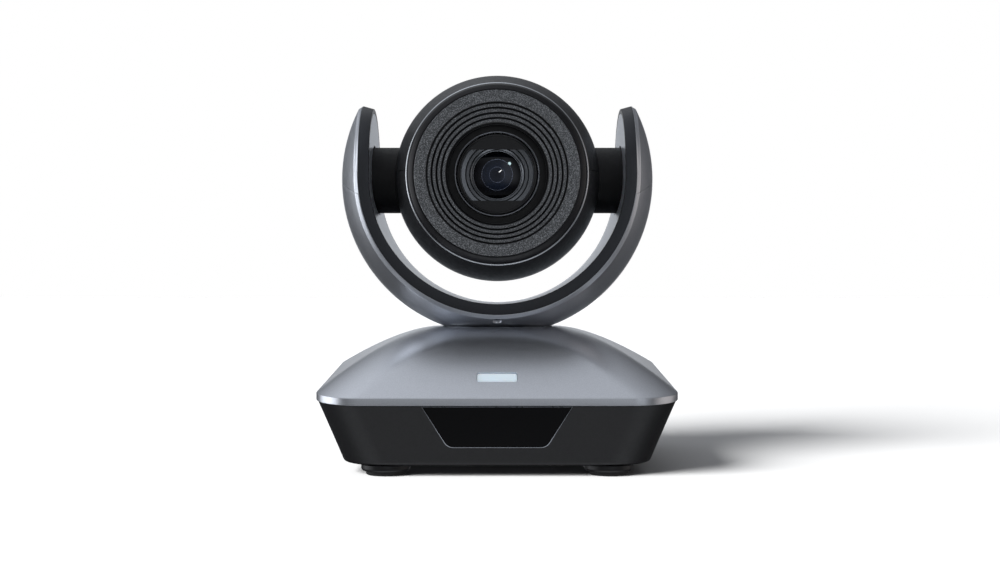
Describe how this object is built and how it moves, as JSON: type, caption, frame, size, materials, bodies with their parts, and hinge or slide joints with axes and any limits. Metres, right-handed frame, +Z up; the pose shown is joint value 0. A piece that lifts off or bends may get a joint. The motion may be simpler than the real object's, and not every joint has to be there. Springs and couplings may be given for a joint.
{
  "type": "ptz conference camera",
  "caption": "Round camera head that tilts in a U-shaped yoke, which pans on a domed, four-footed base with a rear connector panel.",
  "frame": {"origin": "on the floor under the pan axis, at the bottom centre of the base", "axes": "+Z up along the pan axis, -Y towards the front where the lens looks at rest, +X to the viewer's right when facing the camera's front"},
  "size_m": [0.15, 0.134, 0.1709],
  "materials": {
    "silver_paint": "satin metallic silver-grey paint",
    "gunmetal_paint": "dark gunmetal satin paint",
    "liner_grey": "light metallic grey satin paint",
    "bright_metal": "bright polished metal",
    "steel": "plain pressed steel",
    "brass": "turned brass",
    "charcoal_plastic": "satin charcoal plastic",
    "grained_black": "fine grained matte charcoal plastic",
    "gloss_black": "high gloss black plastic",
    "satin_black": "satin black plastic",
    "rubber": "matte black rubber",
    "window_white": "translucent white window",
    "lens_glass": "coated optical glass",
    "board_green": "green circuit board",
    "white_plastic": "off-white moulded plastic"
  },
  "bodies": {
    "base": {"base_top_cover": "silver_paint", "status_window": "window_white", "base_lower_housing": "satin_black", "front_panel": "gloss_black", "bottom_plate": "gunmetal_paint", "tripod_insert": "brass", "foot_cup_front_left": "satin_black", "foot_cup_front_right": "satin_black", "foot_cup_rear_left": "satin_black", "foot_cup_rear_right": "satin_black", "foot_pad_front_left": "rubber", "foot_pad_front_right": "rubber", "foot_pad_rear_left": "rubber", "foot_pad_rear_right": "rubber", "rear_panel": "satin_black", "dc_jack": "charcoal_plastic", "usb_port": "steel", "serial_in_socket": "charcoal_plastic", "serial_out_socket": "charcoal_plastic", "dip_switch_body": "charcoal_plastic", "main_board": "board_green", "pan_bracket": "steel", "pan_motor": "steel", "pan_bearing": "steel"},
    "dip_lever_left": {"dip_lever_1": "white_plastic"},
    "dip_lever_right": {"dip_lever_2": "white_plastic"},
    "motor_pinion": {"pan_pinion": "brass"},
    "yoke": {"pan_turntable": "gunmetal_paint", "pan_gear": "white_plastic", "shaft_collar": "steel", "yoke_outer_shell": "silver_paint", "yoke_edge_frame": "gunmetal_paint", "yoke_inner_liner": "liner_grey", "arm_cap_left": "silver_paint", "arm_cap_right": "silver_paint", "yoke_set_screw": "bright_metal", "tilt_bearing_left": "steel", "tilt_bearing_right": "steel", "tilt_motor_stator": "brass"},
    "head": {"head_upper_shell": "charcoal_plastic", "head_lower_shell": "charcoal_plastic", "seam_ring": "bright_metal", "front_bezel": "gloss_black", "face_plate": "grained_black", "trunnion_left": "satin_black", "trunnion_right": "satin_black", "tilt_motor_rotor": "steel", "head_chassis": "steel", "lens_barrel": "gunmetal_paint", "lens_hood": "satin_black", "lens_retainer": "satin_black", "front_lens": "lens_glass", "camera_module_frame": "steel", "guide_rod_1": "steel", "guide_rod_2": "steel", "sensor_board": "board_green"},
    "zoom_group": {"zoom_lens_group": "charcoal_plastic"},
    "focus_group": {"focus_lens_group": "charcoal_plastic"}
  },
  "joints": [
    {"name": "pan", "type": "hinge", "parent": "base", "child": "yoke", "pos_m": [0, 0, 0.05], "axis": [0, 0, 1], "range_deg": [-170, 170]},
    {"name": "pinion_spin", "type": "hinge", "parent": "base", "child": "motor_pinion", "pos_m": [0, 0.0301, 0.0461], "axis": [0, 0, 1], "range_deg": [-680, 680]},
    {"name": "tilt", "type": "hinge", "parent": "yoke", "child": "head", "pos_m": [0, 0, 0.1256], "axis": [-1, 0, 0], "range_deg": [-30, 90]},
    {"name": "zoom", "type": "slide", "parent": "head", "child": "zoom_group", "axis": [0, 1, 0], "range_m": [0, 0.009]},
    {"name": "focus", "type": "slide", "parent": "head", "child": "focus_group", "axis": [0, 1, 0], "range_m": [-0.003, 0.0045]},
    {"name": "dip_1", "type": "slide", "parent": "base", "child": "dip_lever_left", "axis": [0, 0.2791, 0.9603], "range_m": [0, 0.0024]},
    {"name": "dip_2", "type": "slide", "parent": "base", "child": "dip_lever_right", "axis": [0, 0.2791, 0.9603], "range_m": [0, 0.0024]}
  ],
  "couplings": [
    {"joint": "pinion_spin", "follows": "pan", "ratio": -4}
  ]
}
